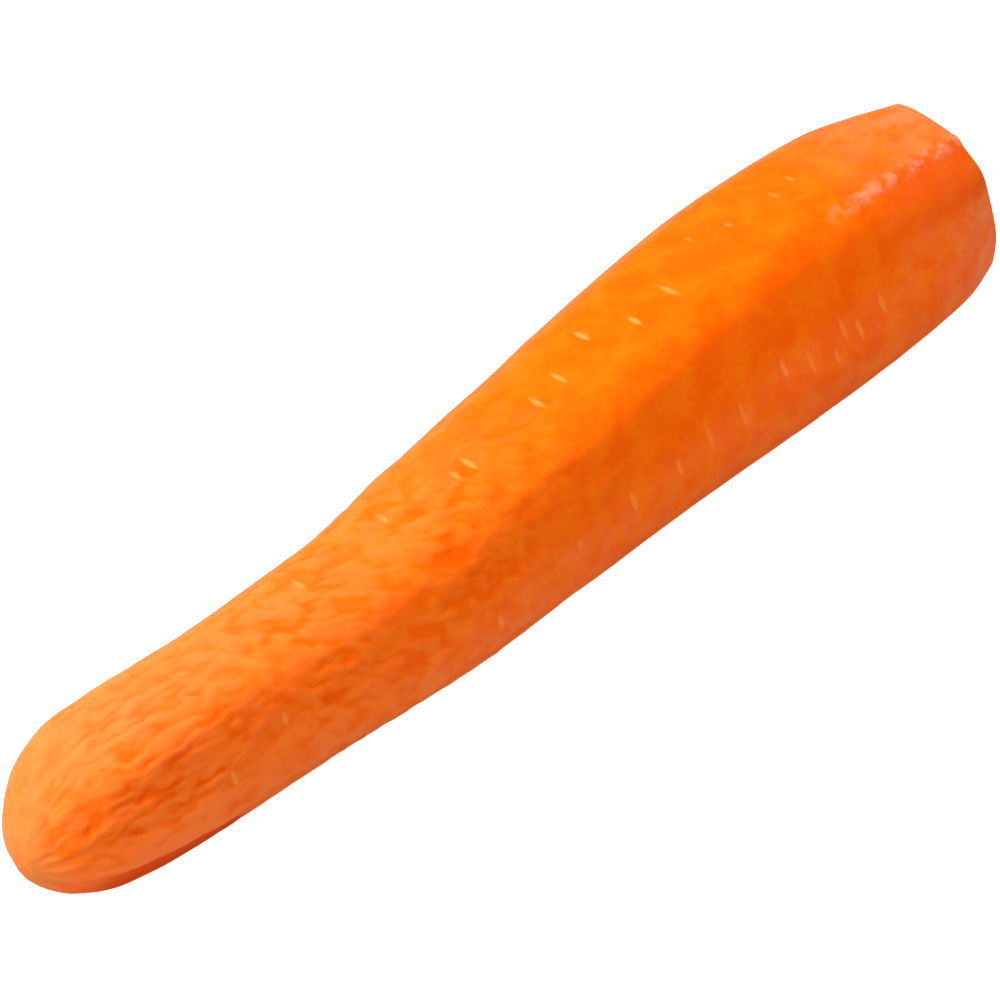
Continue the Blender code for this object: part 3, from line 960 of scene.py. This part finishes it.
def cut_flesh(colours):
    """The cut crown: a paler heart, a thin pale ring round it, and rays that run out to the rim."""
    material = bpy.data.materials.new("cut_flesh")
    material.use_nodes = True
    tree = material.node_tree
    shader = tree.nodes["Principled BSDF"]
    place = add(tree, "ShaderNodeAttribute", output="Vector", attribute_name="wound")
    cut = add(tree, "ShaderNodeAttribute", output="Fac", attribute_name="cut")
    ragged = add(tree, "ShaderNodeTexNoise", {"Vector": place, "Scale": 1 / (3 * MM), "Detail": 3.0})
    shifted = add(tree, "ShaderNodeMath", {0: ragged, 1: 0.12, 2: cut}, operation="MULTIPLY_ADD")
    outward = add(tree, "ShaderNodeVectorMath", {0: place, 1: (0.0, 1.0, 1.0)}, operation="MULTIPLY")
    bearing = add(tree, "ShaderNodeVectorMath", {0: outward}, operation="NORMALIZE")
    rays = add(tree, "ShaderNodeTexNoise", {"Vector": bearing, "Scale": 14.0, "Detail": 2.0})
    ray = add(tree, "ShaderNodeMapRange", {"Value": rays, "From Min": 0.4, "From Max": 0.65})
    rayed = add(tree, "ShaderNodeMix", {0: ray, 6: colours.flesh, 7: colours.bright}, 2, data_type="RGBA")
    in_heart = add(tree, "ShaderNodeMapRange", {"Value": shifted, "From Min": 0.60, "From Max": 0.64})
    near_ring = add(tree, "ShaderNodeMath", {0: shifted, 1: 0.6}, operation="SUBTRACT")
    ring_gap = add(tree, "ShaderNodeMath", {0: near_ring}, operation="ABSOLUTE")
    on_ring = add(
        tree, "ShaderNodeMapRange",
        {"Value": ring_gap, "From Min": 0.005, "From Max": 0.05, "To Min": 0.6, "To Max": 0.0},
    )
    fleshed = add(tree, "ShaderNodeMix", {0: in_heart, 6: rayed, 7: colours.core}, 2, data_type="RGBA")
    ringed = add(tree, "ShaderNodeMix", {0: on_ring, 6: fleshed, 7: colours.ring}, 2, data_type="RGBA")
    tree.links.new(ringed, shader.inputs["Base Color"])
    shader.inputs["Roughness"].default_value = 0.45
    for name, value in RAW_CARROT.items():
        shader.inputs[name].default_value = value
    return material


class CARROT_OT_peeled_root(bpy.types.Operator):
    """Make the peeled root: its form, its wrinkled skin, its root scars and its cut crown"""

    bl_idname = "carrot.peeled_root"
    bl_label = "Peeled Root"

    def execute(self, context):
        skin = context.scene.carrot_skin
        colours = context.scene.carrot_colours
        form = bpy.data.objects.new("peeled_root_form", fine_root())
        context.scene.collection.objects.link(form)
        guide = scar_guide(skin.seed)

        modifier = form.modifiers.new("Peeled Skin", "NODES")
        modifier.node_group = skin_tree()
        values = {
            "Scar Guide": guide,
            "Skin Material": peeled_flesh(colours),
            "Cut Material": cut_flesh(colours),
        }
        values.update(named_sizes(skin))
        for socket in modifier.node_group.interface.items_tree:
            if socket.in_out == "INPUT" and socket.name in values:
                modifier[socket.identifier] = values[socket.name]

        shown = context.evaluated_depsgraph_get()
        mesh = bpy.data.meshes.new_from_object(form.evaluated_get(shown))
        mesh.name = "peeled_root"
        root = bpy.data.objects.new("peeled_root", mesh)
        context.scene.collection.objects.link(root)
        bpy.data.objects.remove(form)
        bpy.data.objects.remove(guide)
        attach(root, "root")
        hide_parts("carrot_root")
        return {"FINISHED"}


class CARROT_OT_stage(bpy.types.Operator):
    """Make the table, the white room, the soft light and the camera"""

    bl_idname = "carrot.stage"
    bl_label = "Table, Light and Camera"

    def execute(self, context):
        settings = context.scene.carrot_stage
        make_table(settings)
        make_light(settings)
        make_camera(settings)
        return {"FINISHED"}


def make_table(settings):
    """A wide table top of white acrylic, lit from within: even, white and without gloss."""
    material = bpy.data.materials.new("lit_white_acrylic")
    material.use_nodes = True
    shader = material.node_tree.nodes["Principled BSDF"]
    shader.inputs["Base Color"].default_value = settings.table
    shader.inputs["Roughness"].default_value = 0.8
    shader.inputs["Specular IOR Level"].default_value = 0.0
    shader.inputs["Emission Color"].default_value = (1, 1, 1, 1)
    seen = add(material.node_tree, "ShaderNodeLightPath", output="Is Camera Ray")
    glow = add(
        material.node_tree, "ShaderNodeMath", {0: seen, 1: settings.table_glow}, operation="MULTIPLY",
    )
    material.node_tree.links.new(glow, shader.inputs["Emission Strength"])
    corners = [
        (TABLE_HALF * x, TABLE_HALF * y, -TABLE_GAP) for x, y in ((-1, -1), (1, -1), (1, 1), (-1, 1))
    ]
    mesh = bpy.data.meshes.new("table_top")
    mesh.from_pydata(corners, [], [(0, 1, 2, 3)])
    mesh.materials.append(material)
    table = bpy.data.objects.new("table_top", mesh)
    bpy.context.scene.collection.objects.link(table)


def aim(place, target):
    """Matrix that puts something at a place and turns its -Z axis to the target."""
    back = (place - target).normalized()
    right = Vector((0, 0, 1)).cross(back).normalized()
    up = back.cross(right)
    turn = Matrix((right, up, back)).transposed().to_4x4()
    return Matrix.Translation(place) @ turn


def make_light(settings):
    """An even white room and one large soft light, high behind the root on its tip's side."""
    scene = bpy.context.scene
    world = bpy.data.worlds.new("white_room")
    world.use_nodes = True
    sky = world.node_tree.nodes["Background"]
    sky.inputs["Color"].default_value = (1, 1, 1, 1)
    sky.inputs["Strength"].default_value = settings.room_light
    scene.world = world
    lamp = bpy.data.lights.new("soft_box", "AREA")
    lamp.shape = "SQUARE"
    lamp.size = LAMP_SIZE
    lamp.energy = settings.key_power
    light = bpy.data.objects.new("soft_box", lamp)
    scene.collection.objects.link(light)
    middle = 0.5 * (ROOT_LOW + ROOT_HIGH)
    way = Vector(LAMP_WAY).normalized()
    light.matrix_world = aim(middle + way * LAMP_DISTANCE, middle)


def make_camera(settings):
    """The camera, above the root's side and tip."""
    lens = bpy.data.cameras.new("camera")
    lens.sensor_width = SENSOR_WIDTH
    lens.lens = settings.lens
    camera = bpy.data.objects.new("camera", lens)
    bpy.context.scene.collection.objects.link(camera)
    turn = settings.camera_turn
    lift = settings.camera_height
    back = Vector((sin(turn) * cos(lift), -cos(turn) * cos(lift), sin(lift)))
    target = Vector(CAMERA_TARGET) * MM
    camera.matrix_world = aim(target + back * settings.camera_distance, target)
    bpy.context.scene.camera = camera
    bpy.context.scene.view_settings.view_transform = "Standard"


class CARROT_PT_panel(bpy.types.Panel):
    """The carrot's pieces and their sizes"""

    bl_idname = "CARROT_PT_panel"
    bl_label = "Carrot"
    bl_space_type = "VIEW_3D"
    bl_region_type = "UI"
    bl_category = "Carrot"

    def draw(self, context):
        layout = self.layout
        scene = context.scene
        for operator, group in (
            (CARROT_OT_peeled_root, scene.carrot_skin),
            (None, scene.carrot_colours),
            (CARROT_OT_stage, scene.carrot_stage),
        ):
            box = layout.box()
            for name in group.bl_rna.properties.keys():
                if name not in ("rna_type", "name"):
                    box.prop(group, name)
            if operator:
                box.operator(operator.bl_idname)


CLASSES = (
    CarrotSkin, CarrotColours, CarrotStage, CARROT_OT_peeled_root, CARROT_OT_stage, CARROT_PT_panel,
)


def register():
    for one in CLASSES:
        bpy.utils.register_class(one)
    bpy.types.Scene.carrot_skin = bpy.props.PointerProperty(type=CarrotSkin)
    bpy.types.Scene.carrot_colours = bpy.props.PointerProperty(type=CarrotColours)
    bpy.types.Scene.carrot_stage = bpy.props.PointerProperty(type=CarrotStage)


def unregister():
    del bpy.types.Scene.carrot_stage
    del bpy.types.Scene.carrot_colours
    del bpy.types.Scene.carrot_skin
    for one in reversed(CLASSES):
        bpy.utils.unregister_class(one)


def main():
    register()
    bpy.ops.carrot.peeled_root()
    bpy.ops.carrot.stage()


if __name__ == "__main__":
    main()
